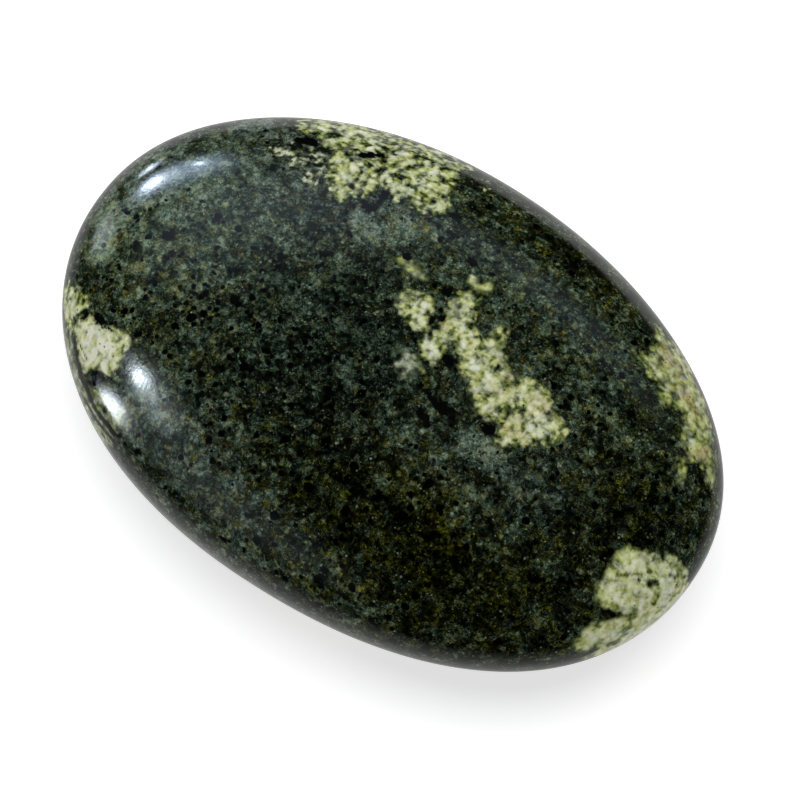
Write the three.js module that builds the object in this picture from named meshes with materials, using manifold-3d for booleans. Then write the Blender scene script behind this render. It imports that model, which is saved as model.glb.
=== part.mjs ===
// A polished serpentine palm stone, modelled as the one piece that it is.
// Millimetres, +Z up. The origin is the middle of the small flat that the stone rests on.
// +X runs along the stone's length and +Y across it.

import * as THREE from "three";
import { mergeVertices } from "three/addons/utils/BufferGeometryUtils.js";
import Module from "manifold-3d";

// Driving dimensions.
const LENGTH = 70;
const WIDTH = 47.6;
const CROWN = 10.6; // from the widest line up to the top
const BELLY = 9.9; // from the widest line down to the resting flat
const WORN = 0.3; // height of the rounded belly that the flat has taken away

// How full the rounded forms are. A power of 2 gives an ellipse, and more fills its corners.
const OUTLINE_POWER = 2.1; // seen from above
const EDGE_POWER = 2.3; // seen from the side

// Slow swellings of the outline that keep it from being a perfect oval.
// Each has its number of lobes, its share of the radius and the angle of its first lobe, in degrees.
const SWELLINGS = [
  { lobes: 3, share: 0.004, angle: -8 },
  { lobes: 5, share: 0.004, angle: 25 },
];

const FINENESS = 18; // splits along each edge of the icosahedron that the facets grow from
const BLOCK_MARGIN = 10; // room that the trimming block leaves around the stone

// How far the outline swells at an angle around +Z, as a share of the radius.
function swelling(angle) {
  return SWELLINGS.reduce(
    (sum, { lobes, share, angle: first }) =>
      sum + share * Math.cos(lobes * (angle - THREE.MathUtils.degToRad(first))),
    0,
  );
}

// Carries a point of the unit sphere to the stone's rounded surface, before the flat is worn.
function stonePoint(sphere) {
  const across = Math.abs(sphere.x) ** OUTLINE_POWER + Math.abs(sphere.y) ** OUTLINE_POWER;
  const upright = Math.abs(sphere.z) ** EDGE_POWER;
  const fullness = (across ** (EDGE_POWER / OUTLINE_POWER) + upright) ** (-1 / EDGE_POWER);
  const nearEdge = sphere.x ** 2 + sphere.y ** 2; // 1 at the widest line, 0 at the top and base
  const swell = 1 + nearEdge * swelling(Math.atan2(sphere.y, sphere.x));
  const rise = sphere.z > 0 ? CROWN : BELLY + WORN;
  return new THREE.Vector3(
    (LENGTH / 2) * sphere.x * fullness * swell,
    (WIDTH / 2) * sphere.y * fullness * swell,
    BELLY + rise * sphere.z * fullness,
  );
}

// The whole rounded pebble, which still reaches WORN below the resting flat.
function pebbleGeometry() {
  const geometry = new THREE.IcosahedronGeometry(1, FINENESS);
  const position = geometry.getAttribute("position");
  const point = new THREE.Vector3();
  for (let i = 0; i < position.count; i += 1) {
    point.fromBufferAttribute(position, i).normalize();
    position.setXYZ(i, ...stonePoint(point));
  }
  return geometry;
}

// A block that holds everything above the resting flat.
function blockGeometry() {
  const height = BELLY + CROWN + BLOCK_MARGIN;
  const block = new THREE.BoxGeometry(LENGTH + BLOCK_MARGIN, WIDTH + BLOCK_MARGIN, height);
  return block.translate(0, 0, height / 2);
}

const wasm = await Module();
wasm.setup();

// A closed three.js geometry as a solid that can be cut.
function solidFrom(geometry) {
  geometry.deleteAttribute("normal");
  geometry.deleteAttribute("uv");
  const merged = mergeVertices(geometry, 1e-5);
  return new wasm.Manifold(
    new wasm.Mesh({
      numProp: 3,
      vertProperties: merged.getAttribute("position").array,
      triVerts: new Uint32Array(merged.index.array),
    }),
  );
}

// A solid back as a geometry.
function geometryFrom(solid) {
  const { vertProperties, triVerts } = solid.getMesh();
  const geometry = new THREE.BufferGeometry();
  geometry.setAttribute("position", new THREE.BufferAttribute(vertProperties, 3));
  geometry.setIndex(new THREE.BufferAttribute(triVerts, 1));
  geometry.computeVertexNormals();
  return geometry;
}

// Dark green polished serpentine.
function stoneMaterial() {
  return new THREE.MeshStandardMaterial({ color: 0x2c3327, roughness: 0.18, metalness: 0 });
}

function buildStone() {
  const worn = solidFrom(pebbleGeometry()).intersect(solidFrom(blockGeometry()));
  const mesh = new THREE.Mesh(geometryFrom(worn), stoneMaterial());
  mesh.name = "serpentine_stone";
  return mesh;
}

const part = new THREE.Group();
part.add(buildStone());

export default part;
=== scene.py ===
# A polished serpentine palm stone on a pale table, under soft studio lights.
# Lengths are in millimetres until mm turns them into metres, unless a note says metres.

import math

import bpy
import numpy as np
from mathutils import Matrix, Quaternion, Vector


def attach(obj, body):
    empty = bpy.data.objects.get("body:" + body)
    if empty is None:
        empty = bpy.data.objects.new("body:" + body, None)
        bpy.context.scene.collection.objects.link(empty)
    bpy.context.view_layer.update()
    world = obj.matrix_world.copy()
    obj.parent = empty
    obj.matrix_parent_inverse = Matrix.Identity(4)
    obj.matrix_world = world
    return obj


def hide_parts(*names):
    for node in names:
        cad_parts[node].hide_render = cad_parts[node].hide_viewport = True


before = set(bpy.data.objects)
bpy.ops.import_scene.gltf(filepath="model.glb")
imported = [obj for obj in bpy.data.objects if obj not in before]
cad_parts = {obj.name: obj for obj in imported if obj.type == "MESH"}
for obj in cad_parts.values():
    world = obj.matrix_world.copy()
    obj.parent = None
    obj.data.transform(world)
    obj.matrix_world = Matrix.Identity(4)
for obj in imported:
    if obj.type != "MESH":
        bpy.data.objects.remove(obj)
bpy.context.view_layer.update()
mm = 0.001

print("frame loaded")


def linear(hexColour):
    # an sRGB hex colour as the linear red, green, blue and alpha that nodes take
    parts = [int(hexColour[i:i + 2], 16) / 255 for i in (1, 3, 5)]
    return [p / 12.92 if p <= 0.04045 else ((p + 0.055) / 1.055) ** 2.4 for p in parts] + [1.0]


def addNode(tree, kind, inputs=None, stops=None, **settings):
    # one node with its settings, and each input either linked or set; gives back its outputs
    # stops are a colour ramp's places and hex colours, with its two ends first
    node = tree.nodes.new(kind)
    for name, value in settings.items():
        setattr(node, name, value)
    for key, value in (inputs or {}).items():
        if isinstance(value, bpy.types.NodeSocket):
            tree.links.new(value, node.inputs[key])
        else:
            node.inputs[key].default_value = value
    for i, (place, colour) in enumerate(stops or []):
        element = node.color_ramp.elements[i] if i < 2 else node.color_ramp.elements.new(1)
        element.position = place
        element.color = linear(colour)
    return node.outputs


# The stone's form, by the same rule as the frame's solid: a ball filled out towards a rounded box,
# swollen a little, stretched to the stone's size and set on a small worn flat.
stoneForm = {
    "Length": 70 * mm,
    "Width": 47.6 * mm,
    "Crown": 10.6 * mm,  # from the widest line up to the top
    "Belly": 9.9 * mm,  # from the widest line down to the resting flat
    "Worn": 0.3 * mm,  # how much of the rounded belly the flat has taken
    "Outline Power": 2.1,  # 2 gives an ellipse from above, more fills its corners
    "Edge Power": 2.3,  # the same from the side
    "Hand Wave": 0.06 * mm,  # slow unevenness left by grinding by hand
    "Wave Length": 13 * mm,
    "Flat Edge": 0.12 * mm,  # softness of the edge around the flat
}
stoneSwellings = [(3, 0.004, -8), (5, 0.004, 25)]  # lobes, share of the radius, angle of the first
stoneSplits = 127  # points along each side of the cube that the stone is blown up from


def stoneTree(material):
    tree = bpy.data.node_groups.new("palmStoneForm", "GeometryNodeTree")
    tree.interface.new_socket("Geometry", in_out="OUTPUT", socket_type="NodeSocketGeometry")
    for name in stoneForm:
        tree.interface.new_socket(name, in_out="INPUT", socket_type="NodeSocketFloat")
    size = addNode(tree, "NodeGroupInput")

    # a cube whose points are spread evenly over a ball
    cube = addNode(tree, "GeometryNodeMeshCube", {
        "Size": (2, 2, 2), "Vertices X": stoneSplits, "Vertices Y": stoneSplits, "Vertices Z": stoneSplits})
    place = addNode(tree, "GeometryNodeInputPosition")[0]
    turned = addNode(tree, "ShaderNodeVectorMath", {0: place, "Scale": math.pi / 4}, operation="SCALE")[0]
    spread = addNode(tree, "ShaderNodeVectorMath", {0: turned}, operation="TANGENT")[0]
    ball = addNode(tree, "ShaderNodeVectorMath", {0: spread}, operation="NORMALIZE")[0]
    bx, by, bz = addNode(tree, "ShaderNodeSeparateXYZ", {0: ball})

    # how far the ball is filled out towards a box
    powered = []
    for axis, power in ((bx, "Outline Power"), (by, "Outline Power"), (bz, "Edge Power")):
        plain = addNode(tree, "ShaderNodeMath", {0: axis}, operation="ABSOLUTE")[0]
        powered.append(addNode(tree, "ShaderNodeMath", {0: plain, 1: size[power]}, operation="POWER")[0])
    across = addNode(tree, "ShaderNodeMath", {0: powered[0], 1: powered[1]}, operation="ADD")[0]
    ratio = addNode(tree, "ShaderNodeMath", {
        0: size["Edge Power"], 1: size["Outline Power"]}, operation="DIVIDE")[0]
    flatwise = addNode(tree, "ShaderNodeMath", {0: across, 1: ratio}, operation="POWER")[0]
    total = addNode(tree, "ShaderNodeMath", {0: flatwise, 1: powered[2]}, operation="ADD")[0]
    root = addNode(tree, "ShaderNodeMath", {0: -1.0, 1: size["Edge Power"]}, operation="DIVIDE")[0]
    fullness = addNode(tree, "ShaderNodeMath", {0: total, 1: root}, operation="POWER")[0]

    # slow swellings of the outline, strongest at the widest line
    angle = addNode(tree, "ShaderNodeMath", {0: by, 1: bx}, operation="ARCTAN2")[0]
    swell = None
    for lobes, share, first in stoneSwellings:
        phase = addNode(tree, "ShaderNodeMath", {
            0: angle, 1: float(lobes), 2: -lobes * math.radians(first)}, operation="MULTIPLY_ADD")[0]
        wave = addNode(tree, "ShaderNodeMath", {0: phase}, operation="COSINE")[0]
        swell = addNode(tree, "ShaderNodeMath", {
            0: wave, 1: share, 2: 0.0 if swell is None else swell}, operation="MULTIPLY_ADD")[0]
    flatBall = addNode(tree, "ShaderNodeVectorMath", {0: ball, 1: (1, 1, 0)}, operation="MULTIPLY")[0]
    nearEdge = addNode(tree, "ShaderNodeVectorMath", {
        0: flatBall, 1: flatBall}, operation="DOT_PRODUCT")["Value"]
    swollen = addNode(tree, "ShaderNodeMath", {0: nearEdge, 1: swell, 2: 1.0}, operation="MULTIPLY_ADD")[0]

    # the three half sizes, with the lower half as deep as the belly and what has been worn off it
    halfLength = addNode(tree, "ShaderNodeMath", {0: size["Length"], 1: 0.5}, operation="MULTIPLY")[0]
    halfWidth = addNode(tree, "ShaderNodeMath", {0: size["Width"], 1: 0.5}, operation="MULTIPLY")[0]
    depth = addNode(tree, "ShaderNodeMath", {0: size["Belly"], 1: size["Worn"]}, operation="ADD")[0]
    upper = addNode(tree, "ShaderNodeMath", {0: bz, 1: 0.0}, operation="GREATER_THAN")[0]
    rise = addNode(tree, "ShaderNodeMix", {0: upper, 2: depth, 3: size["Crown"]})[0]
    sideways = addNode(tree, "ShaderNodeMath", {0: fullness, 1: swollen}, operation="MULTIPLY")[0]
    filled = addNode(tree, "ShaderNodeCombineXYZ", {0: sideways, 1: sideways, 2: fullness})[0]
    halves = addNode(tree, "ShaderNodeCombineXYZ", {0: halfLength, 1: halfWidth, 2: rise})[0]
    grown = addNode(tree, "ShaderNodeVectorMath", {0: ball, 1: filled}, operation="MULTIPLY")[0]
    pebble = addNode(tree, "ShaderNodeVectorMath", {0: grown, 1: halves}, operation="MULTIPLY")[0]

    # the hand-ground waves only take stone away, so the form stays inside its size
    finer = addNode(tree, "ShaderNodeMath", {0: 1.0, 1: size["Wave Length"]}, operation="DIVIDE")[0]
    waves = addNode(tree, "ShaderNodeTexNoise", {
        "Vector": pebble, "Scale": finer, "Detail": 1.0}, noise_dimensions="3D")[0]
    taken = addNode(tree, "ShaderNodeMath", {0: waves, 1: size["Hand Wave"]}, operation="MULTIPLY")[0]
    inwards = addNode(tree, "ShaderNodeMath", {0: taken, 1: -1.0}, operation="MULTIPLY")[0]
    hollow = addNode(tree, "ShaderNodeVectorMath", {0: ball, "Scale": inwards}, operation="SCALE")[0]
    ground = addNode(tree, "ShaderNodeVectorMath", {0: pebble, 1: hollow}, operation="ADD")[0]

    # set on its flat, whose edge is a little rounded
    px, py, pz = addNode(tree, "ShaderNodeSeparateXYZ", {0: ground})
    raised = addNode(tree, "ShaderNodeMath", {0: pz, 1: size["Belly"]}, operation="ADD")[0]
    rested = addNode(tree, "ShaderNodeMath", {
        0: raised, 1: 0.0, 2: size["Flat Edge"]}, operation="SMOOTH_MAX")[0]
    final = addNode(tree, "ShaderNodeCombineXYZ", {0: px, 1: py, 2: rested})[0]
    moved = addNode(tree, "GeometryNodeSetPosition", {"Geometry": cube[0], "Position": final})[0]
    smooth = addNode(tree, "GeometryNodeSetShadeSmooth", {"Geometry": moved})[0]
    whole = addNode(tree, "GeometryNodeRealizeInstances", {"Geometry": smooth})[0]
    dressed = addNode(tree, "GeometryNodeSetMaterial", {"Geometry": whole, "Material": material})[0]
    addNode(tree, "NodeGroupOutput", {0: dressed})
    return tree


def makeStone(material):
    stone = bpy.data.objects.new("serpentinePalmStone", bpy.data.meshes.new("serpentinePalmStone"))
    bpy.context.scene.collection.objects.link(stone)
    modifier = stone.modifiers.new("form", "NODES")
    modifier.node_group = stoneTree(material)
    for socket in modifier.node_group.interface.items_tree:
        if socket.in_out == "INPUT":
            modifier[socket.identifier] = float(stoneForm[socket.name])
    depsgraph = bpy.context.evaluated_depsgraph_get()
    stone.data = bpy.data.meshes.new_from_object(stone.evaluated_get(depsgraph), depsgraph=depsgraph)
    stone.modifiers.clear()
    stone.data.name = "serpentinePalmStone"
    return stone


# A patch is drawn in mm on a plane that touches the stone at middle and looks along facing.
# u runs to the right and v up the stone for someone who looks at it from outside.
# Where the plane lies flat on top, u is along the stone and v across it.
crownPlane = {"middle": (0, 0, 20.5), "facing": (0, 0, 1)}
farPlane = {"middle": (-12.7, 14.4, 18.2), "facing": (-0.12, 0.31, 0.94)}
headPlane = {"middle": (-24.1, -14.8, 15.1), "facing": (-0.39, -0.49, 0.78)}
rightPlane = {"middle": (25.0, 13.3, 15.5), "facing": (0.38, 0.44, 0.81)}
tailPlane = {"middle": (32.0, -5.4, 14.4), "facing": (0.63, -0.2, 0.75)}
underPlane = {"middle": (9.0, 7.0, 0.4), "facing": (0.1, 0.12, -0.99)}
frontUnderPlane = {"middle": (6.0, -19.0, 3.0), "facing": (0.1, -0.72, -0.69)}
backPlane = {"middle": (-16.0, 21.0, 7.0), "facing": (-0.3, 0.88, -0.37)}

# rough is how far a patch's border frays, in mm. white makes its chalk lighter, or darker below 0, and
# mottle is how strongly the chalk varies. cast makes it pinkish above 0 and greyer below 0. cover is
# roughly the share that the grains take up in a patch that is scattered.
palePatches = [
    # the long island in the middle of the crown
    {"on": crownPlane, "rough": 0.35, "white": -0.01, "mottle": 0.74, "cast": 0.8,
     "outline": [
         (2.1, 7.9), (3.6, 7.4), (4.9, 7.2), (5.1, 6.5), (5.9, 6.5), (6.9, 6.0), (7.3, 5.6), (7.1, 6.8),
         (7.2, 8.2), (7.8, 8.6), (8.4, 7.9), (8.4, 6.9), (9.4, 5.9), (9.8, 5.0), (11.8, 4.5), (12.3, 5.3),
         (14.5, 5.3), (15.4, 4.9), (15.7, 3.8), (17.0, 3.8), (18.3, 3.3), (18.6, 2.3), (18.0, 1.5),
         (17.3, 0.8), (16.5, 0.1), (15.6, -0.8), (15.0, -1.8), (14.2, -1.5), (13.2, -2.2), (12.9, -1.3),
         (13.0, -0.4), (12.1, 0.0), (11.4, -0.6), (10.4, -0.9), (9.7, -0.1), (9.2, 0.8), (8.4, 0.9),
         (8.1, 2.0), (7.1, 2.0), (6.1, 2.6), (5.1, 3.3), (4.9, 4.1), (4.5, 3.4), (4.4, 2.3), (4.2, 0.9),
         (3.9, 0.1), (3.1, 0.9), (2.9, 1.8), (2.1, 2.2), (2.1, 3.2), (2.3, 4.2), (2.5, 5.4), (2.2, 6.6)]},
    # its arm, which fades to green
    {"on": crownPlane, "rough": 0.35, "white": -0.15, "mottle": 0.75,
     "outline": [
         (2.5, 10.2), (3.5, 9.9), (4.4, 9.2), (4.4, 8.2), (4.9, 7.2), (3.6, 6.9), (2.2, 7.2), (2.0, 9.0)]},
    # the bright bit above the arm
    {"on": crownPlane, "rough": 0.2, "white": 0.0, "mottle": 0.5,
     "outline": [(1.7, 11.1), (3.2, 11.1), (4.5, 11.3), (4.6, 10.2), (3.5, 9.8), (2.4, 9.9)]},
    # a greyish hook at its left end
    {"on": crownPlane, "rough": 0.35, "white": -0.04, "mottle": 0.55, "cast": -1.0,
     "outline": [(0.9, 0.1), (1.7, 1.2), (2.7, 1.1), (4.1, 0.9), (3.8, -0.5), (2.7, -1.5), (1.4, -1.1)]},
    # the rounded island beyond that end
    {"on": crownPlane, "rough": 0.25, "white": 0.07, "mottle": 0.8,
     "outline": [
         (-2.2, 6.1), (-1.4, 6.6), (0.3, 6.7), (1.1, 6.2), (1.3, 5.4), (1.2, 4.6), (1.7, 3.9), (1.5, 3.2),
         (0.8, 3.0), (0.1, 3.4), (-0.9, 3.7), (-2.1, 4.1), (-2.3, 5.0)]},
    # the streak beside the tall arm
    {"on": crownPlane, "rough": 0.1, "white": -0.03, "mottle": 0.4,
     "outline": [
         (-5.2, 8.2), (-4.2, 8.8), (-3.0, 9.1), (-1.9, 8.8), (-1.0, 7.9), (-1.8, 7.5), (-2.8, 7.8),
         (-4.0, 7.8)]},
    # the broad crust over the far side
    {"on": farPlane, "rough": 0.55, "white": -0.1, "mottle": 0.85, "cast": -0.15,
     "outline": [
         (-8.7, 2.8), (-7.4, 2.9), (-6.3, 3.2), (-5.4, 2.8), (-4.9, 1.8), (-4.0, 2.8), (-3.1, 2.5),
         (-2.7, 1.4), (-1.7, 1.4), (-1.4, 2.4), (-0.2, 2.7), (0.7, 3.5), (1.2, 4.2), (2.1, 4.1), (2.6, 3.0),
         (3.4, 1.8), (3.5, 0.2), (3.6, -1.5), (4.9, -2.6), (5.0, -3.7), (6.4, -4.5), (8.5, -4.6),
         (9.2, -5.4), (8.6, -6.6), (7.4, -8.0), (3.0, -9.4), (-3.0, -9.6), (-8.0, -8.2), (-10.5, -6.0),
         (-8.6, -4.6), (-8.9, -2.6), (-8.6, -1.0), (-8.8, 1.0)]},
    # the bold patch on the left shoulder
    {"on": headPlane, "rough": 0.25, "white": 0.2, "mottle": 0.85,
     "outline": [
         (-4.2, 0.3), (-3.3, 1.2), (-2.1, 1.8), (-1.8, 2.6), (-1.0, 3.3), (-0.2, 4.0), (0.6, 3.9), (1.3, 2.9),
         (2.1, 2.1), (2.4, 0.9), (1.4, -0.1), (1.0, -0.8), (0.7, -2.2), (-0.7, -2.4), (-2.0, -2.3),
         (-3.4, -2.0), (-4.3, -1.4)]},
    # its neighbour to the left
    {"on": headPlane, "rough": 0.45, "white": -0.03, "mottle": 0.85,
     "outline": [
         (-9.2, -1.6), (-8.4, -0.6), (-7.2, 0.2), (-5.9, 1.0), (-5.0, 0.8), (-4.7, -0.4), (-4.6, -1.6),
         (-3.6, -2.6), (-4.8, -3.5), (-7.0, -3.7), (-9.2, -3.2)]},
    # the streaky green skirt below both
    {"on": headPlane, "rough": 0.4, "white": -0.14, "mottle": 0.5, "cast": -0.8,
     "outline": [
         (-6.8, -3.0), (-3.0, -2.6), (0.7, -2.7), (2.6, -2.3), (3.0, -1.2), (2.8, -0.2), (3.8, 0.5),
         (4.6, 0.7), (5.8, 1.5), (7.0, 1.8), (8.3, 1.4), (8.8, 0.2), (8.0, -1.4), (8.4, -3.0),
         (7.0, -5.2), (3.0, -6.8), (-2.0, -6.6), (-6.4, -5.0)]},
    # the grainy band along the right rim
    {"on": rightPlane, "rough": 0.45, "white": -0.07, "mottle": 0.5, "cast": 1.5,
     "outline": [
         (-8.8, 2.3), (-7.0, 3.0), (-6.0, 2.4), (-5.2, 1.3), (-4.0, 1.5), (-2.7, 1.2), (-1.7, 0.4),
         (-1.0, 1.2), (-0.3, 2.7), (0.6, 2.8), (1.6, 2.1), (2.6, 3.0), (3.9, 3.1), (4.8, 3.9), (5.5, 3.6),
         (5.0, 2.3), (6.0, 1.0), (7.3, 0.2), (8.8, -0.5), (8.2, -1.3), (7.0, -1.4), (6.4, -3.4),
         (3.5, -4.0), (0.5, -3.8), (-2.0, -3.5), (-5.0, -3.0), (-8.4, -2.2), (-9.2, -1.2), (-7.6, -0.6),
         (-6.4, -0.1), (-6.5, 0.9), (-8.2, 1.5)]},
    # the two crisp polygons at the tail, split by a dark wedge
    {"on": tailPlane, "rough": 0.14, "white": 0.09, "mottle": 0.62, "cast": 0.25,
     "outline": [
         (-3.4, 2.4), (-2.3, 3.5), (-1.6, 3.3), (-0.7, 3.9), (0.8, 4.6), (2.0, 4.3), (2.5, 3.4), (3.8, 2.3),
         (5.0, 1.4), (5.6, -0.1), (5.9, -1.6), (5.6, -3.2), (4.6, -5.2), (1.0, -6.6), (-3.0, -6.2),
         (-6.4, -4.2), (-6.9, -3.2), (-5.0, -2.95), (-3.4, -3.3), (-2.2, -2.5), (-1.2, -1.7), (-2.3, 0.1),
         (-3.3, 1.2)]},
    {"on": tailPlane, "rough": 0.14, "white": 0.09, "mottle": 0.62, "cast": 0.25,
     "outline": [
         (-7.8, -0.9), (-6.6, -0.2), (-5.0, 0.3), (-4.2, -0.2), (-3.0, -0.7), (-2.0, -1.1), (-1.8, -2.1),
         (-2.6, -2.8), (-3.6, -3.1), (-5.0, -2.8), (-6.6, -2.3)]},
    # scattered grains on both sides of the far crust
    {"on": farPlane, "rough": 0.8, "cover": 0.62, "white": 0.0, "cast": -1.0,
     "outline": [
         (3.9, -0.2), (4.5, 2.4), (5.4, 2.2), (6.1, 0.2), (7.4, 0.2), (7.7, -0.7), (9.5, -0.8), (10.2, -1.5),
         (9.0, -2.0), (7.4, -2.9), (6.6, -2.4), (5.9, -3.0), (4.8, -2.4)]},
    {"on": farPlane, "rough": 0.8, "cover": 0.25, "white": -0.05,
     "outline": [(-13.6, -2.2), (-11.8, -2.2), (-11.4, -4.8), (-13.8, -5.2)]},
    # an island of the underside, and a streak low on the front and on the back
    {"on": underPlane, "rough": 0.6, "white": 0.0, "cast": 0.5,
     "outline": [
         (-5.0, -2.0), (-3.5, 1.2), (-1.0, 2.2), (1.5, 1.2), (3.8, 2.6), (5.4, 0.7), (3.6, -1.6), (0.8, -1.2),
         (-1.5, -3.1), (-3.8, -3.3)]},
    {"on": frontUnderPlane, "rough": 0.7, "white": -0.08,
     "outline": [(-6.5, -0.4), (-4.2, 1.4), (-1.2, 0.9), (1.6, 1.9), (3.4, 0.4), (1.2, -1.2), (-3.0, -1.7)]},
    {"on": backPlane, "rough": 0.7, "white": -0.05,
     "outline": [(-4.4, -1.0), (-2.2, 0.9), (0.8, 0.5), (3.4, 1.7), (5.2, 0.3), (2.4, -1.1), (-1.0, -1.6)]},
]

# moss-green stains in the patches: a line on a plane, how far it spreads in mm, and how deep it is
mossStains = [
    {"on": tailPlane, "spread": 0.25, "depth": 0.25,
     "line": [(-0.5, 2.8), (0.8, 2.1), (2.4, 1.1), (3.8, -0.4), (5.3, -2.1)]},
    {"on": tailPlane, "spread": 0.35, "depth": 0.25,
     "line": [(2.9, 2.5), (2.4, 1.5), (2.0, 0.4), (1.1, -0.4), (0.2, -1.6)]},
    {"on": tailPlane, "spread": 1.1, "depth": 0.2, "line": [(3.4, 1.6), (4.5, 0.6), (5.3, -0.6)]},
    {"on": tailPlane, "spread": 0.7, "depth": 0.14, "line": [(2.0, 0.1), (2.1, -0.7)]},
    {"on": headPlane, "spread": 0.14, "depth": 0.8, "line": [(-1.9, -1.6), (-1.0, -1.4), (-0.3, -1.2)]},
    {"on": headPlane, "spread": 0.35, "depth": 0.45,
     "line": [(-2.7, -2.2), (0.5, -2.7), (4.4, -2.5), (8.0, -1.2)]},
    {"on": headPlane, "spread": 0.25, "depth": 0.4, "line": [(2.3, -3.8), (5.4, -3.1), (8.0, -2.0)]},
]

# thin milky clouds over the dark stone, drawn as the patches are, and how much lighter they make it
milkyHazes = [
    {"on": headPlane, "strength": 0.8,
     "outline": [
         (4.0, 3.4), (4.6, 4.5), (6.0, 5.4), (8.0, 5.6), (10.2, 5.4), (10.0, 4.4), (8.6, 3.7), (7.0, 3.0),
         (5.4, 2.4), (4.4, 2.5)]},
    {"on": headPlane, "strength": 1.5,
     "outline": [(2.9, -2.2), (3.0, 0.0), (5.5, 1.5), (7.7, 1.7), (9.0, 0.1), (6.9, -1.8)]},
    {"on": crownPlane, "strength": 0.9,
     "outline": [
         (-33.5, -1.6), (-31.6, -0.6), (-29.9, -1.6), (-28.9, -4.0), (-28.9, -6.6), (-29.9, -7.4),
         (-31.2, -6.4), (-32.3, -4.0)]},
    {"on": crownPlane, "strength": 1.6,
     "outline": [(1.2, 0.1), (1.8, 0.8), (2.6, 0.7), (3.6, 0.3), (3.4, -0.7), (2.6, -1.3), (1.7, -0.9)]},
    {"on": crownPlane, "strength": 0.6,
     "outline": [(-2.9, -2.2), (-2.3, -2.2), (-2.3, -2.8), (-2.9, -2.8)]},
    {"on": crownPlane, "strength": 0.45,
     "outline": [(-4.9, -4.2), (-3.8, -4.2), (-3.7, -5.3), (-4.9, -5.4)]},
    {"on": crownPlane, "strength": 0.9,
     "outline": [
         (9.5, -1.5), (11.0, -2.0), (12.9, -1.4), (13.2, -2.2), (15.0, -2.0), (15.5, -3.5), (14.5, -4.6),
         (12.0, -4.2), (10.5, -3.0)]},
    {"on": farPlane, "strength": 0.6,
     "outline": [
         (-8.5, 3.5), (-7.0, 5.5), (-5.5, 7.0), (-3.5, 7.6), (-1.5, 8.4), (-0.4, 7.6), (0.8, 6.6), (0.9, 5.4),
         (-0.3, 4.6), (-2.2, 4.6), (-3.2, 3.2), (-5.0, 3.2), (-7.0, 3.6)]},
]

# broad tints of the dark stone, seen from above: where they are and how far they reach. light is in
# stops, warm is olive above 0 and teal below 0, crowd is how far the black blots spread in it, and
# grey is the share of a bluish grey. On the upper left and the lower left, light and grey are partly
# painted light: they lighten the stone and turn it bluish grey as the softboxes' sheen does.
broadTints = [
    {"at": (-4, -1), "reach": (9, 7), "light": -0.75, "warm": -0.4},
    {"at": (-6, -8), "reach": (6, 3.5), "light": -0.8, "warm": -0.2},
    # partly a painted sheen: these five lighten the upper left and turn it bluish grey where the softboxes
    # reflect
    {"at": (-25, 3), "reach": (8, 8), "light": 1.6, "warm": -0.15, "crowd": -0.06},
    {"at": (-33, 6), "reach": (5, 6), "light": 0.9, "warm": -0.2, "grey": 0.5},
    {"at": (-27, 15), "reach": (7, 4), "light": 1.55, "warm": -0.2, "grey": 0.9},
    {"at": (-17, 20), "reach": (8, 4), "light": 1.45, "grey": 0.9},
    {"at": (-14, 12), "reach": (8, 7), "light": 0.5, "warm": -0.2, "crowd": -0.05, "grey": 0.9},
    {"at": (-23, -7), "reach": (7, 5), "light": 0.5, "warm": 0.1},
    {"at": (-15, -6), "reach": (11, 9), "light": -0.1, "crowd": 0.12},
    {"at": (4, -14), "reach": (12, 9), "crowd": 0.11},
    {"at": (4, 12), "reach": (14, 5), "light": 0.3},
    {"at": (10, 19), "reach": (11, 2), "light": -1.0, "warm": 0.5},
    {"at": (17, -4), "reach": (8, 4), "light": 0.1, "warm": -0.2, "grey": 0.6},
    {"at": (12, -14), "reach": (15, 6), "light": -1.9, "warm": 0.7},
    # partly a painted sheen: these two lighten the lower left and turn it bluish grey where the front softbox
    # reflects
    {"at": (-13, -17), "reach": (9, 4), "light": 1.0, "warm": -0.2, "crowd": -0.04, "grey": 0.8},
    {"at": (-2, -21), "reach": (9, 4), "light": 0.9, "warm": -0.1, "grey": 0.7},
    {"at": (11, -9), "reach": (6, 3), "light": 0.7},
    {"at": (27, -1), "reach": (6, 8), "light": -1.5, "warm": 0.35},
]

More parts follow.
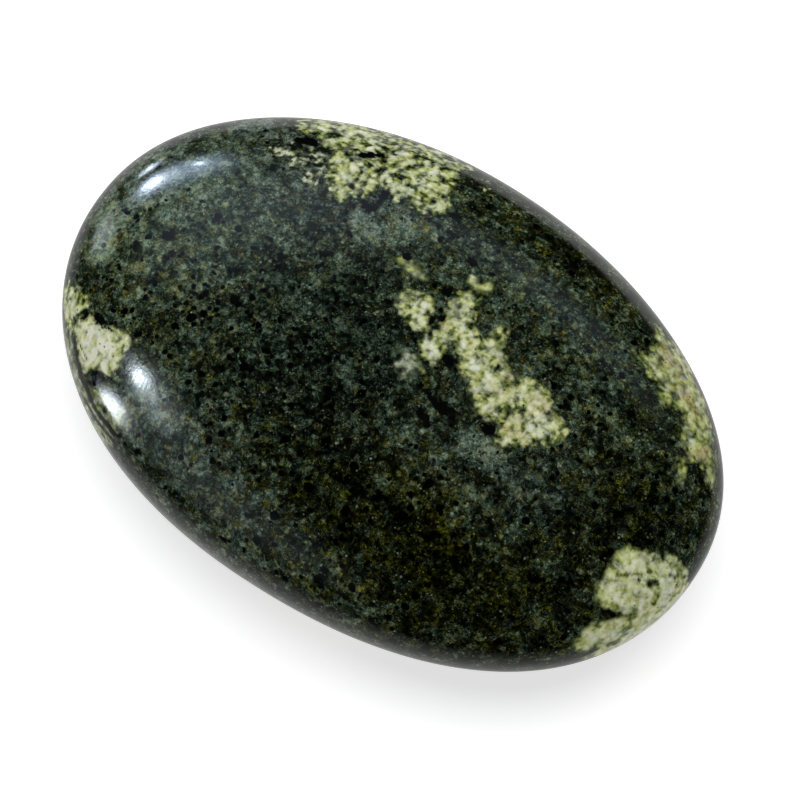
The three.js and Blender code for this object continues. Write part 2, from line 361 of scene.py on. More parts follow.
# black blots of magnetite: the place on their plane, half their length and width in mm, and the angle
# of their length
blackBlots = [
    {"on": crownPlane, "blots": [
        (1.9, 5.1, 0.9, 0.5, 90), (5.4, 2.3, 0.8, 0.7, 60), (12.4, -1.3, 0.8, 0.5, -15),
        (-2.6, 4.2, 0.4, 0.4, 0), (8.9, 9.0, 0.45, 0.35, 30), (11.0, 8.4, 0.3, 0.3, 0),
        (1.5, 12.4, 0.6, 0.35, 0), (-4.2, 9.2, 0.3, 0.3, 0), (1.0, 8.0, 0.5, 0.4, 40),
        (20.1, 4.4, 0.4, 0.35, 0), (16.8, 5.1, 0.35, 0.3, 0),
        (7.2, -1.9, 2.1, 0.5, -10), (6.4, -3.6, 1.3, 0.38, -19), (-24.8, -1.7, 0.8, 0.6, 30),
        (-23.3, -3.4, 0.65, 0.5, 80), (-27.0, -4.0, 0.55, 0.45, 40), (-21.8, 2.2, 0.65, 0.5, 60),
        (-14.0, 2.3, 0.5, 0.4, 20), (-10.8, 4.6, 0.3, 0.3, 0), (-19.2, -5.5, 0.45, 0.4, 0),
        (-30.4, -1.3, 0.35, 0.3, 0), (-14.5, -11.3, 0.45, 0.3, 100), (-13.0, -10.5, 0.6, 0.24, 14),
        (-13.3, -12.3, 0.4, 0.3, 20), (-12.7, -13.4, 0.4, 0.3, 40), (-10.4, -13.9, 0.55, 0.24, 34),
        (-9.4, -16.2, 0.5, 0.3, 70)]},
    {"on": farPlane, "blots": [
        (0.2, -2.8, 1.3, 0.5, 0), (-2.3, 2.2, 0.9, 0.5, 90), (-1.3, 3.7, 0.9, 0.7, 0),
        (-1.2, -2.2, 0.3, 0.3, 0), (6.5, -3.0, 1.1, 0.7, 0), (-12.5, 7.1, 0.5, 0.5, 0),
        (-9.7, 4.5, 0.7, 0.5, 0), (-9.5, 2.3, 0.7, 0.6, 0), (-6.2, 8.4, 0.4, 0.4, 0),
        (-0.3, 7.4, 0.7, 0.3, 90), (0.3, 4.1, 0.5, 0.3, 0), (2.0, 10.0, 0.4, 0.4, 0)]},
    {"on": headPlane, "blots": [
        (2.0, -0.8, 0.9, 0.8, 0), (-3.1, 1.65, 1.25, 0.42, 37), (-4.4, 0.4, 0.6, 0.15, 90),
        (5.2, 1.2, 0.75, 0.4, 0), (-2.85, -0.4, 0.12, 0.12, 0), (0.0, 0.35, 0.1, 0.1, 0)]},
    {"on": tailPlane, "blots": [
        (3.0, -2.5, 0.18, 0.18, 0), (4.1, -1.9, 0.1, 0.1, 0), (1.0, 1.2, 0.1, 0.1, 0)]},
]
outOfReach = -3.0  # mm, the distance to a mark that stands for nowhere near it
leastFacing = 0.05  # cosine of the steepest slope that a plane still marks
hazeEdge = 1.4  # mm, over which a haze fades

# every mark that the material reads, and its value where nothing is drawn
plainMarks = {"pale": outOfReach, "rough": 0.5, "white": 0, "cast": 0, "mottle": 1,
              "haze": 0, "ink": outOfReach, "light": 0, "warm": 0, "crowd": 0, "grey": 0}


def planeAxes(plane):
    facing = Vector(plane["facing"]).normalized()
    up = Vector((0, 1, 0)) if facing.z > 0.99 else Vector((0, 0, 1))
    v = (up - up.dot(facing) * facing).normalized()
    return v.cross(facing), v, facing


def layOut(points, plane):
    # where points lie on a patch's plane, in mm, and the way that it faces
    u, v, facing = (np.array(axis) for axis in planeAxes(plane))
    away = points / mm - np.array(plane["middle"])
    return away @ u, away @ v, facing


def insideOutline(pu, pv, outline):
    # distance to an outline, more than 0 inside it
    inside = np.zeros(len(pu), bool)
    nearest = np.full(len(pu), np.inf)
    for (au, av), (bu, bv) in zip(outline, outline[1:] + outline[:1]):
        du, dv = bu - au, (bv - av) or 1e-9  # a level side mustn't divide by 0
        along = np.clip(((pu - au) * du + (pv - av) * dv) / (du * du + dv * dv), 0, 1)
        nearest = np.minimum(nearest, np.hypot(pu - au - along * du, pv - av - along * dv))
        inside ^= ((av > pv) != (bv > pv)) & (pu < (pv - av) * du / dv + au)
    return np.where(inside, nearest, -nearest)


def markStone(stone):
    count = len(stone.data.vertices)
    points = np.empty(count * 3, np.float32)
    normals = np.empty(count * 3, np.float32)
    stone.data.vertices.foreach_get("co", points)
    stone.data.vertices.foreach_get("normal", normals)
    points = points.reshape(-1, 3).astype(float)
    normals = normals.reshape(-1, 3).astype(float)

    marks = {name: np.full(count, float(value)) for name, value in plainMarks.items()}
    for patch in palePatches:
        pu, pv, facing = layOut(points, patch["on"])
        depth = insideOutline(pu, pv, patch["outline"])
        if "cover" in patch:
            depth = np.minimum(depth, (patch["cover"] - 0.5) * 2 * patch["rough"])
        depth[normals @ facing < leastFacing] = outOfReach
        closer = depth > marks["pale"]
        marks["pale"][closer] = depth[closer]
        marks["rough"][closer] = patch["rough"]
        marks["white"][closer] = patch["white"]
        marks["cast"][closer] = patch.get("cast", 0)
        marks["mottle"][closer] = patch.get("mottle", 1)
    for stain in mossStains:
        pu, pv, facing = layOut(points, stain["on"])
        thereAndBack = stain["line"] + stain["line"][-2:0:-1]
        away = -insideOutline(pu, pv, thereAndBack) / stain["spread"]
        marks["white"] -= stain["depth"] * np.clip(1 - away ** 2, 0, 1) * (normals @ facing > leastFacing)
    for haze in milkyHazes:
        pu, pv, facing = layOut(points, haze["on"])
        within = np.clip(insideOutline(pu, pv, haze["outline"]) / hazeEdge + 0.5, 0, 1) * haze["strength"]
        within[normals @ facing < leastFacing] = 0
        marks["haze"] = np.maximum(marks["haze"], within)
    for group in blackBlots:
        pu, pv, facing = layOut(points, group["on"])
        for atU, atV, halfLong, halfWide, angle in group["blots"]:
            turn = math.radians(angle)
            along = (pu - atU) * math.cos(turn) + (pv - atV) * math.sin(turn)
            across = (pv - atV) * math.cos(turn) - (pu - atU) * math.sin(turn)
            within = (1 - np.hypot(along / halfLong, across / halfWide)) * min(halfLong, halfWide)
            within[normals @ facing < leastFacing] = outOfReach
            marks["ink"] = np.maximum(marks["ink"], within)
    for tint in broadTints:
        away = (points[:, :2] / mm - np.array(tint["at"])) / np.array(tint["reach"])
        share = np.exp(-(away ** 2).sum(axis=1))
        for name in ("light", "warm", "crowd", "grey"):
            marks[name] += tint.get(name, 0) * share
    for name, values in marks.items():
        layer = stone.data.attributes.new(name, "FLOAT", "POINT")
        layer.data.foreach_set("value", np.clip(values, outOfReach, -outOfReach).astype(np.float32))


# Serpentinite sawn, ground and polished on felt: a tight mesh of dark green blades that hides its
# own depth, with chalky yellow-green patches that take less polish and so look softer.
serpentinite = {
    "wander": [(1.4, 0.45), (0.35, 0.14)],  # mm, how long and how far the grain borders stray
    "drift": 1.9,  # mm, the widest of the clouds that run down into the finest grain
    "blade": 0.52,  # mm, width of the serpentine grains
    "grit": 0.36,  # mm, the finer clouds between them
    "thread": 0.42,  # mm, how far apart the pale threads between the grains run
    "fleck": 0.34,  # mm, how far apart the small bright flecks lie
    "stain": 1.5,  # mm, width of the olive stains
    "blot": 1.25,  # mm, how far apart the black blots of magnetite lie
    "dot": 0.8,  # mm, how far apart the small black dots lie
    "speck": 0.9,  # mm, how far apart the bright specks lie
    "chalk": 0.65,  # mm, grains of the pale patches
    "lump": 0.7,  # mm, the lumps that they run together into
    "cloud": 1.5,  # mm, width of their denser and thinner parts
    "fray": 0.9,  # mm, the nibbles along a patch's border
    "blush": 2.3,  # mm, width of its pinkish parts
    "pinhole": 0.62,  # mm, how far apart the pinholes in the pale patches lie
    "ior": 1.56,
    "polish": (0.05, 0.16),  # roughness of the hardest and the softest grains
    "pitting": 0.3,  # mm, how far apart the polish dips at softer grains
    "relief": 0.005,  # mm, height that the polish leaves between hard and soft grains
}


def strayGrain(tree, inMm):
    # grain borders wander, so the mesh isn't made of clean cells
    wandered = strayed = inMm
    for width, reach in serpentinite["wander"]:
        strayed = wandered
        sway = addNode(tree, "ShaderNodeTexNoise", {
            "Vector": inMm, "Scale": 1 / width, "Detail": 1.0})["Color"]
        centred = addNode(tree, "ShaderNodeVectorMath", {
            0: sway, 1: (0.5, 0.5, 0.5)}, operation="SUBTRACT")[0]
        wandered = addNode(tree, "ShaderNodeVectorMath", {
            0: centred, 1: (reach, reach, reach), 2: wandered}, operation="MULTIPLY_ADD")[0]
    return strayed, wandered


def bladedTone(tree, marks, inMm, wandered):
    # the tone of the dark mesh: clouds, grit, grains, pale threads between them and the marks
    drift = addNode(tree, "ShaderNodeTexNoise", {
        "Vector": wandered, "Scale": 1 / serpentinite["drift"], "Detail": 5.0, "Roughness": 0.8})[0]
    grit = addNode(tree, "ShaderNodeTexNoise", {
        "Vector": wandered, "Scale": 1 / serpentinite["grit"], "Detail": 2.0, "Roughness": 0.9})[0]
    blades = addNode(tree, "ShaderNodeTexVoronoi", {"Vector": wandered, "Scale": 1 / serpentinite["blade"]})
    bladeTone, bladeHue, bladeLuck = addNode(tree, "ShaderNodeSeparateColor", {0: blades["Color"]})
    bladeBody = addNode(tree, "ShaderNodeMapRange", {
        "Value": blades["Distance"], "From Min": 0.15, "From Max": 0.65, "To Min": 1.0, "To Max": 0.0},
        interpolation_type="SMOOTHSTEP")[0]
    threadNoise = addNode(tree, "ShaderNodeTexNoise", {
        "Vector": wandered, "Scale": 1 / serpentinite["thread"], "Detail": 1.0})[0]
    threadAway = addNode(tree, "ShaderNodeMath", {0: threadNoise, 1: 0.5}, operation="SUBTRACT")[0]
    threadFar = addNode(tree, "ShaderNodeMath", {0: threadAway}, operation="ABSOLUTE")[0]
    thread = addNode(tree, "ShaderNodeMapRange", {
        "Value": threadFar, "From Min": 0.0, "From Max": 0.045, "To Min": 1.0, "To Max": 0.0})[0]
    flecks = addNode(tree, "ShaderNodeTexVoronoi", {"Vector": inMm, "Scale": 1 / serpentinite["fleck"]})
    fleckLuck = addNode(tree, "ShaderNodeSeparateColor", {0: flecks["Color"]})[0]
    fleckNear = addNode(tree, "ShaderNodeMapRange", {
        "Value": flecks["Distance"], "From Min": 0.1, "From Max": 0.34, "To Min": 1.0, "To Max": 0.0})[0]
    fleckShine = addNode(tree, "ShaderNodeMapRange", {
        "Value": fleckLuck, "From Min": 0.45, "From Max": 1.0, "To Min": 0.0, "To Max": 1.0})[0]
    fleck = addNode(tree, "ShaderNodeMath", {0: fleckNear, 1: fleckShine}, operation="MULTIPLY")[0]
    tone = -0.126  # puts the usual grain in the middle of the colours below
    # the light mark lightens the tone in stops; on the upper and lower left it is partly a painted sheen
    for signal, weight in (
            (drift, 0.76), (grit, 0.3), (bladeTone, 0.12), (bladeBody, 0.05), (thread, 0.1), (fleck, 0.2),
            (marks["light"], 0.055), (marks["haze"], 0.14)):
        tone = addNode(tree, "ShaderNodeMath", {0: signal, 1: weight, 2: tone}, operation="MULTIPLY_ADD")[0]
    return tone, grit, bladeHue, bladeLuck


def bladedColour(tree, marks, wandered, tone, bladeHue):
    # teal grains with olive stains
    teal = addNode(tree, "ShaderNodeValToRGB", {0: tone}, stops=[
        (0.28, "#010101"), (0.9, "#b0c3ad"), (0.33, "#020302"), (0.379, "#070b08"), (0.428, "#121a13"),
        (0.471, "#1d291e"), (0.524, "#2d3b2e"), (0.575, "#425343"), (0.619, "#576b59"),
        (0.672, "#728873"), (0.76, "#94aa94")])[0]
    olive = addNode(tree, "ShaderNodeValToRGB", {0: tone}, stops=[
        (0.28, "#010100"), (0.9, "#bbc39f"), (0.33, "#020301"), (0.379, "#080b04"), (0.428, "#161a0b"),
        (0.471, "#232812"), (0.524, "#343b21"), (0.575, "#4a5336"), (0.619, "#616a4b"),
        (0.672, "#7e8865"), (0.76, "#a2aa82")])[0]
    stain = addNode(tree, "ShaderNodeTexNoise", {
        "Vector": wandered, "Scale": 1 / serpentinite["stain"], "Detail": 4.0, "Roughness": 0.7})[0]
    olivity = marks["warm"]
    for signal, weight in ((stain, 3.2), (bladeHue, 1.1)):
        olivity = addNode(tree, "ShaderNodeMath", {
            0: signal, 1: weight, 2: olivity}, operation="MULTIPLY_ADD")[0]
    isOlive = addNode(tree, "ShaderNodeMapRange", {"Value": olivity, "From Min": 1.8, "From Max": 2.55})[0]
    dark = addNode(tree, "ShaderNodeMix", {0: isOlive, 6: teal, 7: olive}, data_type="RGBA")[2]
    # and yellow where an olive stain is strongest
    isYellow = addNode(tree, "ShaderNodeMapRange", {"Value": olivity, "From Min": 2.55, "From Max": 3.05})[0]
    dark = addNode(tree, "ShaderNodeMix", {
        0: isYellow, 6: dark, 7: linear("#fff080")}, data_type="RGBA", blend_type="MULTIPLY")[2]
    # and a bluish grey where the grey mark lies: the stone's own cooler tone together with a painted sheen,
    # the bluish light that the softboxes leave in the polish there
    dark = addNode(tree, "ShaderNodeMix", {
        0: marks["grey"], 6: dark, 7: linear("#efe9ff")}, data_type="RGBA", blend_type="MULTIPLY")[2]
    return dark


def blotsAndSpecks(tree, marks, inMm, wandered, grit, dark):
    # scattered black blots, large and small, with ragged edges
    scattered = []
    for width, least, most in ((serpentinite["blot"], 0.3, 0.32), (serpentinite["dot"], 0.35, 0.34)):
        blots = addNode(tree, "ShaderNodeTexVoronoi", {"Vector": wandered, "Scale": 1 / width})
        chance = addNode(tree, "ShaderNodeSeparateColor", {0: blots["Color"]})[1]
        reach = addNode(tree, "ShaderNodeMapRange", {
            "Value": chance, "From Min": least, "From Max": 1.0, "To Min": 0.0, "To Max": most})[0]
        crowded = addNode(tree, "ShaderNodeMath", {0: reach, 1: marks["crowd"]}, operation="ADD")[0]
        within = addNode(tree, "ShaderNodeMath", {0: crowded, 1: blots["Distance"]}, operation="SUBTRACT")[0]
        scattered.append(addNode(tree, "ShaderNodeMath", {0: within, 1: width}, operation="MULTIPLY")[0])
    ink = addNode(tree, "ShaderNodeMath", {0: scattered[0], 1: scattered[1]}, operation="MAXIMUM")[0]
    ragged = addNode(tree, "ShaderNodeMath", {0: grit, 1: 0.35, 2: ink}, operation="MULTIPLY_ADD")[0]
    isInk = addNode(tree, "ShaderNodeMapRange", {"Value": ragged, "From Min": 0.13, "From Max": 0.23})[0]
    dark = addNode(tree, "ShaderNodeMix", {0: isInk, 6: dark, 7: linear("#010201")}, data_type="RGBA")[2]

    # bright specks
    specks = addNode(tree, "ShaderNodeTexVoronoi", {"Vector": inMm, "Scale": 1 / serpentinite["speck"]})
    luck = addNode(tree, "ShaderNodeSeparateColor", {0: specks["Color"]})[2]
    speckReach = addNode(tree, "ShaderNodeMapRange", {
        "Value": luck, "From Min": 0.35, "From Max": 1.0, "To Min": 0.0, "To Max": 0.13})[0]
    within = addNode(tree, "ShaderNodeMath", {0: speckReach, 1: specks["Distance"]}, operation="SUBTRACT")[0]
    isSpeck = addNode(tree, "ShaderNodeMapRange", {
        "Value": within, "From Min": -0.05, "From Max": 0.06, "To Max": 0.7})[0]
    dark = addNode(tree, "ShaderNodeMix", {0: isSpeck, 6: dark, 7: linear("#8d9c90")}, data_type="RGBA")[2]
    return dark


def chalkPatches(tree, marks, strayed, wandered):
    # chalky grains, soft and creamy in yellow-green, with moss-green gaps where they are thin
    chalk = addNode(tree, "ShaderNodeTexVoronoi", {"Vector": wandered, "Scale": 1 / serpentinite["chalk"]})
    chalkLuck, chalkHue = addNode(tree, "ShaderNodeSeparateColor", {0: chalk["Color"]})[:2]
    dome = addNode(tree, "ShaderNodeMapRange", {
        "Value": chalk["Distance"], "From Min": 0.1, "From Max": 0.75, "To Min": 1.0, "To Max": 0.0},
        interpolation_type="SMOOTHSTEP")[0]
    clouds = addNode(tree, "ShaderNodeTexNoise", {
        "Vector": strayed, "Scale": 1 / serpentinite["cloud"], "Detail": 5.0, "Roughness": 0.68})[0]
    lumps = addNode(tree, "ShaderNodeTexNoise", {
        "Vector": strayed, "Scale": 1 / serpentinite["lump"], "Detail": 1.0})[0]
    edgeNoise = addNode(tree, "ShaderNodeTexNoise", {
        "Vector": strayed, "Scale": 1 / serpentinite["fray"], "Detail": 3.0, "Roughness": 0.65})[0]
    edgeSway = addNode(tree, "ShaderNodeMath", {0: dome, 1: 0.1, 2: edgeNoise}, operation="MULTIPLY_ADD")[0]
    edgeAway = addNode(tree, "ShaderNodeMath", {0: edgeSway, 1: 0.55}, operation="SUBTRACT")[0]
    edgeReach = addNode(tree, "ShaderNodeMath", {0: marks["rough"], 1: 3.0}, operation="MULTIPLY")[0]
    shifted = addNode(tree, "ShaderNodeMath", {
        0: edgeAway, 1: edgeReach, 2: marks["pale"]}, operation="MULTIPLY_ADD")[0]
    sunk = addNode(tree, "ShaderNodeMapRange", {
        "Value": shifted, "From Min": -0.35, "From Max": 0.7, "To Min": -0.38, "To Max": 0.0})[0]
    chalkTone = -1.92  # centres the mottling, which is 0 for the usual grain
    for signal, weight in ((dome, 0.2), (chalkLuck, 0.16), (clouds, 2.2), (lumps, 1.25)):
        chalkTone = addNode(tree, "ShaderNodeMath", {
            0: signal, 1: weight, 2: chalkTone}, operation="MULTIPLY_ADD")[0]
    chalkTone = addNode(tree, "ShaderNodeMath", {
        0: chalkTone, 1: marks["mottle"], 2: 0.56}, operation="MULTIPLY_ADD")[0]
    for signal, weight in ((marks["white"], 1.0), (sunk, 1.0)):
        chalkTone = addNode(tree, "ShaderNodeMath", {
            0: signal, 1: weight, 2: chalkTone}, operation="MULTIPLY_ADD")[0]
    cream = addNode(tree, "ShaderNodeValToRGB", {0: chalkTone}, stops=[
        (0.0, "#0c110a"), (1.0, "#fdfbe4"), (0.12, "#232d18"), (0.25, "#4e5c2b"), (0.38, "#87924c"),
        (0.5, "#b6bd76"), (0.62, "#d1d799"), (0.76, "#e2e6b9"), (0.88, "#eff2cf")])[0]
    # some grains are a greyer white
    pallid = addNode(tree, "ShaderNodeValToRGB", {0: chalkTone}, stops=[
        (0.0, "#0c110d"), (1.0, "#fbfaf6"), (0.12, "#272c26"), (0.25, "#535a4c"), (0.38, "#8a9184"),
        (0.5, "#b3bbab"), (0.62, "#cfd6c6"), (0.76, "#dfe5d7"), (0.88, "#ecf2e6")])[0]
    grey = addNode(tree, "ShaderNodeMath", {0: marks["cast"], 1: 0.0}, operation="MINIMUM")[0]
    pallor = addNode(tree, "ShaderNodeMath", {0: grey, 1: -0.6, 2: chalkHue}, operation="MULTIPLY_ADD")[0]
    isPallid = addNode(tree, "ShaderNodeMapRange", {
        "Value": pallor, "From Min": 0.3, "From Max": 1.1, "To Max": 0.75})[0]
    cream = addNode(tree, "ShaderNodeMix", {0: isPallid, 6: cream, 7: pallid}, data_type="RGBA")[2]
    # where the chalk turns to a pinkish grey
    pinkNoise = addNode(tree, "ShaderNodeTexNoise", {
        "Vector": strayed, "Scale": 1 / serpentinite["blush"], "Detail": 3.0})[0]
    pinkShare = addNode(tree, "ShaderNodeMapRange", {
        "Value": pinkNoise, "From Min": 0.5, "From Max": 0.62, "To Max": 0.6})[0]
    isPink = addNode(tree, "ShaderNodeMath", {
        0: pinkShare, 1: marks["cast"]}, operation="MULTIPLY", use_clamp=True)[0]
    cream = addNode(tree, "ShaderNodeMix", {
        0: isPink, 6: cream, 7: linear("#f3dfdc")}, data_type="RGBA", blend_type="MULTIPLY")[2]
    isPale = addNode(tree, "ShaderNodeMapRange", {
        "Value": shifted, "From Min": -0.4, "From Max": 0.15}, interpolation_type="SMOOTHSTEP")[0]
    return cream, isPale, edgeNoise


def serpentiniteMaterial():
    material = bpy.data.materials.new("polishedSerpentinite")
    material.use_nodes = True
    tree = material.node_tree
    tree.nodes.clear()
    here = addNode(tree, "ShaderNodeTexCoord")["Object"]
    inMm = addNode(tree, "ShaderNodeMapping", {"Vector": here, "Scale": (1 / mm, 1 / mm, 1 / mm)})[0]
    marks = {name: addNode(tree, "ShaderNodeAttribute", attribute_name=name)["Fac"] for name in plainMarks}
    strayed, wandered = strayGrain(tree, inMm)
    tone, grit, bladeHue, bladeLuck = bladedTone(tree, marks, inMm, wandered)
    dark = bladedColour(tree, marks, wandered, tone, bladeHue)
    dark = blotsAndSpecks(tree, marks, inMm, wandered, grit, dark)
    cream, isPale, edgeNoise = chalkPatches(tree, marks, strayed, wandered)
    finished = addNode(tree, "ShaderNodeMix", {0: isPale, 6: dark, 7: cream}, data_type="RGBA")[2]

    # pinholes in the patches, and the named blots over everything
    holes = addNode(tree, "ShaderNodeTexVoronoi", {"Vector": wandered, "Scale": 1 / serpentinite["pinhole"]})
    holeLuck = addNode(tree, "ShaderNodeSeparateColor", {0: holes["Color"]})[0]
    holeReach = addNode(tree, "ShaderNodeMapRange", {
        "Value": holeLuck, "From Min": 0.3, "From Max": 1.0, "To Min": 0.0, "To Max": 0.17})[0]
    within = addNode(tree, "ShaderNodeMath", {0: holeReach, 1: holes["Distance"]}, operation="SUBTRACT")[0]
    isHole = addNode(tree, "ShaderNodeMapRange", {"Value": within, "From Min": -0.05, "From Max": 0.06})[0]
    swayedInk = addNode(tree, "ShaderNodeMath", {
        0: edgeNoise, 1: 2.0, 2: marks["ink"]}, operation="MULTIPLY_ADD")[0]
    isNamed = addNode(tree, "ShaderNodeMapRange", {
        "Value": swayedInk, "From Min": 0.84, "From Max": 1.12})[0]
    isBlack = addNode(tree, "ShaderNodeMath", {0: isHole, 1: isNamed}, operation="MAXIMUM")[0]
    finished = addNode(tree, "ShaderNodeMix", {
        0: isBlack, 6: finished, 7: linear("#060806")}, data_type="RGBA")[2]

    # the blades take the polish unevenly, and the chalk never takes the whole of it
    palest = addNode(tree, "ShaderNodeMath", {0: isPale, 1: 0.5}, operation="MULTIPLY")[0]
    softness = addNode(tree, "ShaderNodeMath", {0: bladeLuck, 1: palest}, operation="MAXIMUM")[0]
    hardest, softest = serpentinite["polish"]
    polish = addNode(tree, "ShaderNodeMapRange", {"Value": softness, "To Min": hardest, "To Max": softest})[0]
    pitting = addNode(tree, "ShaderNodeTexNoise", {
        "Vector": inMm, "Scale": 1 / serpentinite["pitting"], "Detail": 1.0})[0]
    relief = addNode(tree, "ShaderNodeBump", {
        "Strength": 1.0, "Distance": serpentinite["relief"] * mm, "Height": pitting})[0]
    surface = addNode(tree, "ShaderNodeBsdfPrincipled", {
        "Base Color": finished, "Roughness": polish, "IOR": serpentinite["ior"], "Normal": relief})[0]
    addNode(tree, "ShaderNodeOutputMaterial", {"Surface": surface})
    return material


material = serpentiniteMaterial()
stone = makeStone(material)
markStone(stone)
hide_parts("serpentine_stone")
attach(stone, "root")
print("stone made:", len(stone.data.polygons), "faces")


table = {
    "size": 6.0,  # metres
    "glow": 0.7,  # its own light
    "reflects": 0.64,  # the share of the studio's light that it gives back
    "pool": 0.6,  # how bright the polish sees the lit middle of the table
    "poolMiddle": (-20 * mm, 38 * mm, 0),
    "poolEdge": (45 * mm, 125 * mm),  # where its light starts to fade and where it ends
}


def makeTable():
    half = table["size"] / 2
    mesh = bpy.data.meshes.new("paleTable")
    corners = [(-half, -half, 0), (half, -half, 0), (half, half, 0), (-half, half, 0)]
    mesh.from_pydata(corners, [], [(0, 1, 2, 3)])
    board = bpy.data.objects.new("paleTable", mesh)
    bpy.context.scene.collection.objects.link(board)
    # white acrylic lit from below, as on a product table, so shadows on it stay faint
    material = bpy.data.materials.new("litWhiteAcrylic")
    material.use_nodes = True
    tree = material.node_tree
    tree.nodes.clear()
    share = [table["reflects"]] * 3 + [1]
    scatter = addNode(tree, "ShaderNodeBsdfDiffuse", {"Color": share})[0]
    glow = addNode(tree, "ShaderNodeEmission", {"Strength": table["glow"]})[0]
    both = addNode(tree, "ShaderNodeAddShader", {0: scatter, 1: glow})[0]
    # the polish sees only the pool of light around the stone
    place = addNode(tree, "ShaderNodeTexCoord")["Object"]
    away = addNode(tree, "ShaderNodeVectorMath", {
        0: place, 1: table["poolMiddle"]}, operation="DISTANCE")["Value"]
    inner, outer = table["poolEdge"]
    pool = addNode(tree, "ShaderNodeMapRange", {
        "Value": away, "From Min": inner, "From Max": outer, "To Min": table["pool"], "To Max": 0.0},
        interpolation_type="SMOOTHSTEP")[0]
    mirrored = addNode(tree, "ShaderNodeEmission", {"Strength": pool})[0]
    bounced = addNode(tree, "ShaderNodeLightPath")["Is Glossy Ray"]
    surface = addNode(tree, "ShaderNodeMixShader", {0: bounced, 1: both, 2: mirrored})[0]
    addNode(tree, "ShaderNodeOutputMaterial", {"Surface": surface})
    mesh.materials.append(material)


view = {
    "turn": 34.43,  # degrees that the camera has gone round from the front
    "height": 70,  # degrees above the table
    "distance": 342.2 * mm,
    "lens": 160,  # mm, as a camera takes it
    "sensor": 36,  # mm, its width
    "nearest": 10 * mm,  # nothing closer than this is seen
    "aim": (0.594 * mm, -0.726 * mm),  # right and up from the stone's middle
    "aimHeight": 10 * mm,
}


def makeCamera():
    turn, height = math.radians(view["turn"]), math.radians(view["height"])
    back = Vector((math.sin(turn) * math.cos(height), -math.cos(turn) * math.cos(height), math.sin(height)))
    right = Vector((math.cos(turn), math.sin(turn), 0))
    up = back.cross(right)
    aim = right * view["aim"][0] + up * view["aim"][1] + Vector((0, 0, view["aimHeight"]))
    camera = bpy.data.objects.new("camera", bpy.data.cameras.new("camera"))
    camera.data.lens = view["lens"]
    camera.data.sensor_width = view["sensor"]
    camera.data.clip_start = view["nearest"]
    camera.location = aim + back * view["distance"]
    camera.rotation_euler = back.to_track_quat("Z", "Y").to_euler()
    bpy.context.scene.collection.objects.link(camera)
    bpy.context.scene.camera = camera


# A light stands in the direction of azimuth (degrees from +X towards +Y) and elevation, fills the
# angles across and tall, and is turned by turn. radiance is how bright its middle looks, with 1 for
# the table. Each of the lights fades towards its edge, as a softbox does.
coolWhite = "#e7f4ff"
windowBlue = "#d6e7ff"
paleBlue = "#dce4f4"
skyBlue = "#c4deff"
lights = [
    # azimuth, elevation, across, tall, turn, radiance, colour
    ("windowCore", 157.5, 16.8, 8, 11, 22, 41, windowBlue),
    ("windowGlow", 156, 17.6, 15, 19, 22, 6.2, paleBlue),
    ("windowHaze", 151.5, 20, 38, 22, -28, 4.8, skyBlue),
    ("windowEdge", 145.4, 20.7, 3.6, 5, 8, 26, windowBlue),
    ("windowEdgeGlow", 144.6, 23, 10, 14, 15, 2.2, windowBlue),
    ("sill", 155, 2, 9, 7, 0, 24, windowBlue),
    ("lampCore", -147.7, 39.8, 5.5, 14, 24, 38, coolWhite),
    ("lampGlow", -145.4, 39.1, 12, 16, 28, 4.2, coolWhite),
    ("lampHaze", -142, 38.8, 26, 36, 26, 2, coolWhite),
    ("lowLampCore", -137.2, 5, 9, 40, 0, 26, coolWhite),
    ("lowLampGlow", -136.4, 2, 17, 54, 0, 6.5, coolWhite),
    ("doorway", 175, 10, 17, 32, 0, 3.0, coolWhite),
    ("backSoftbox", 144, 44, 70, 40, 0, 0.7, windowBlue),
    ("farSoftbox", 92, 38, 70, 24, 0, 0.4, windowBlue),
    ("frontSoftbox", -113, 27, 60, 56, 0, 0.32, coolWhite),
]
topLight = ("topLight", 124.4, 76.3, 60, 43, 0, 3.9, "#ffffff")
lightDistance = 0.8  # metres
lightAim = (0, 0, 12 * mm)


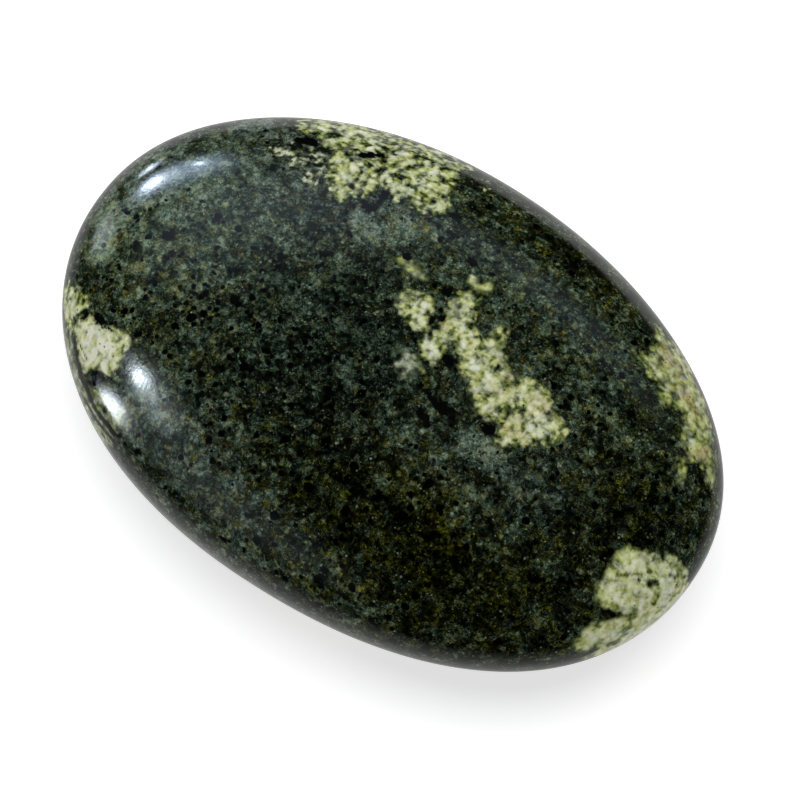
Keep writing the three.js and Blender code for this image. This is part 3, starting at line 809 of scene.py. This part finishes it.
def addLamp(name, azimuth, elevation, across, tall, turn, radiance, colour):
    azimuth, elevation = math.radians(azimuth), math.radians(elevation)
    way = Vector((math.cos(azimuth) * math.cos(elevation),
                  math.sin(azimuth) * math.cos(elevation), math.sin(elevation)))
    data = bpy.data.lights.new(name, "AREA")
    data.shape = "ELLIPSE"
    data.size = 2 * lightDistance * math.tan(math.radians(across / 2))
    data.size_y = 2 * lightDistance * math.tan(math.radians(tall / 2))
    data.energy = radiance * math.pi * (math.pi / 4 * data.size * data.size_y)
    data.color = linear(colour)[:3]
    lamp = bpy.data.objects.new(name, data)
    lamp.location = way * lightDistance + Vector(lightAim)
    turned = Quaternion((0, 0, 1), math.radians(turn))
    lamp.rotation_euler = (way.to_track_quat("Z", "Y") @ turned).to_euler()
    lamp.visible_camera = False
    bpy.context.scene.collection.objects.link(lamp)
    return lamp


def makeLights():
    for light in lights:
        lamp = addLamp(*light)
        lamp.visible_diffuse = False
        # bright in the middle, and dark at the edge
        lamp.data.use_nodes = True
        tree = lamp.data.node_tree
        tree.nodes.clear()
        place = addNode(tree, "ShaderNodeNewGeometry")["Parametric"]
        away = addNode(tree, "ShaderNodeVectorMath", {
            0: place, 1: (0.5, 0.5, 0)}, operation="DISTANCE")["Value"]
        fade = addNode(tree, "ShaderNodeMapRange", {
            "Value": away, "From Min": 0.0, "From Max": 0.5, "To Min": 1.0, "To Max": 0.0},
            interpolation_type="SMOOTHSTEP")[0]
        glow = addNode(tree, "ShaderNodeEmission", {"Strength": fade})[0]
        addNode(tree, "ShaderNodeOutputLight", {"Surface": glow})
    # the key light from above, polarised so that it leaves no reflection in the polish
    addLamp(*topLight).visible_glossy = False


def makeWorld():
    world = bpy.data.worlds.new("studio")
    world.use_nodes = True
    tree = world.node_tree
    tree.nodes.clear()
    seen = addNode(tree, "ShaderNodeLightPath")["Is Camera Ray"]
    fill = addNode(tree, "ShaderNodeMix", {
        "Factor": seen, "A": linear("#454749"), "B": linear("#ffffff")}, data_type="RGBA")[2]
    glow = addNode(tree, "ShaderNodeBackground", {"Color": fill, "Strength": 1.0})[0]
    addNode(tree, "ShaderNodeOutputWorld", {"Surface": glow})
    bpy.context.scene.world = world
    world.cycles_visibility.glossy = False


makeTable()
makeCamera()
makeLights()
makeWorld()
bpy.context.scene.view_settings.view_transform = "Standard"
print("stage set")
